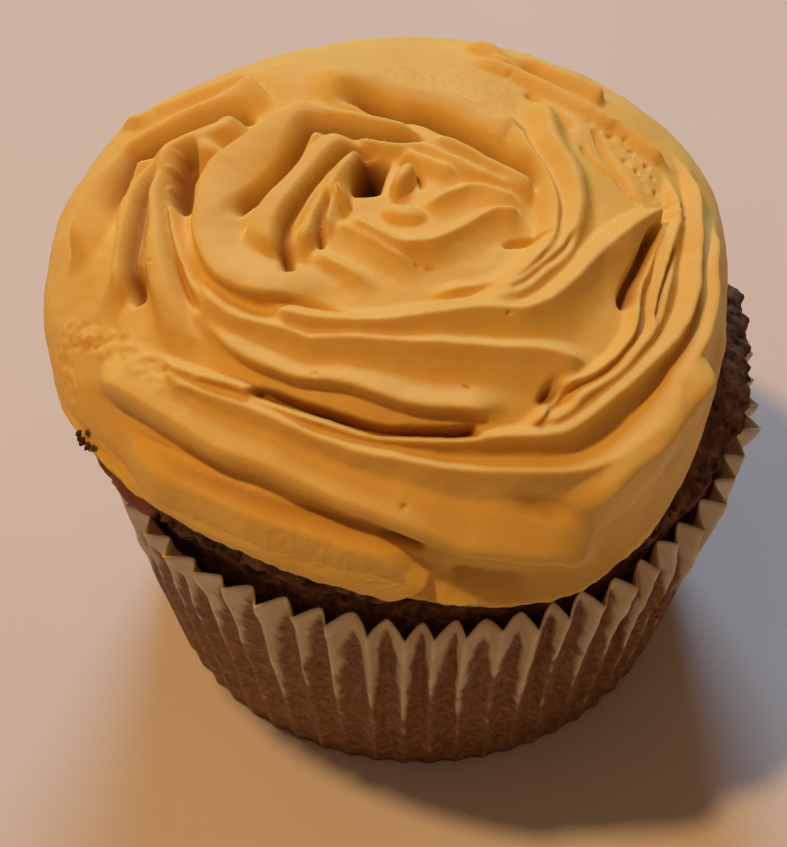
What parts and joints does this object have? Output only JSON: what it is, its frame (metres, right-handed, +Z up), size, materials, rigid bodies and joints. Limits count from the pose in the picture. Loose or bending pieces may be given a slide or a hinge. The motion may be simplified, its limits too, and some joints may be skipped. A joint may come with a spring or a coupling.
{
  "type": "cupcake",
  "caption": "Round coffee sponge cupcake in a pleated paper case, topped with one piped swirl of cappuccino-coloured buttercream.",
  "frame": {"origin": "centre of the paper case's underside, where it rests on the table", "axes": "+Z up along the axis of the case, -Y towards the side that faces the camera in the picture, +X to the right"},
  "size_m": [0.0678, 0.0654, 0.0529],
  "materials": {
    "paper_case": "matt greaseproof paper, darker where it touches the cake",
    "cake": "matt, craggy crumb",
    "buttercream": "satin, smooth piped ridges"
  },
  "bodies": {
    "root": {"paper_case": "paper_case", "cake": "cake", "buttercream": "buttercream"}
  },
  "joints": []
}
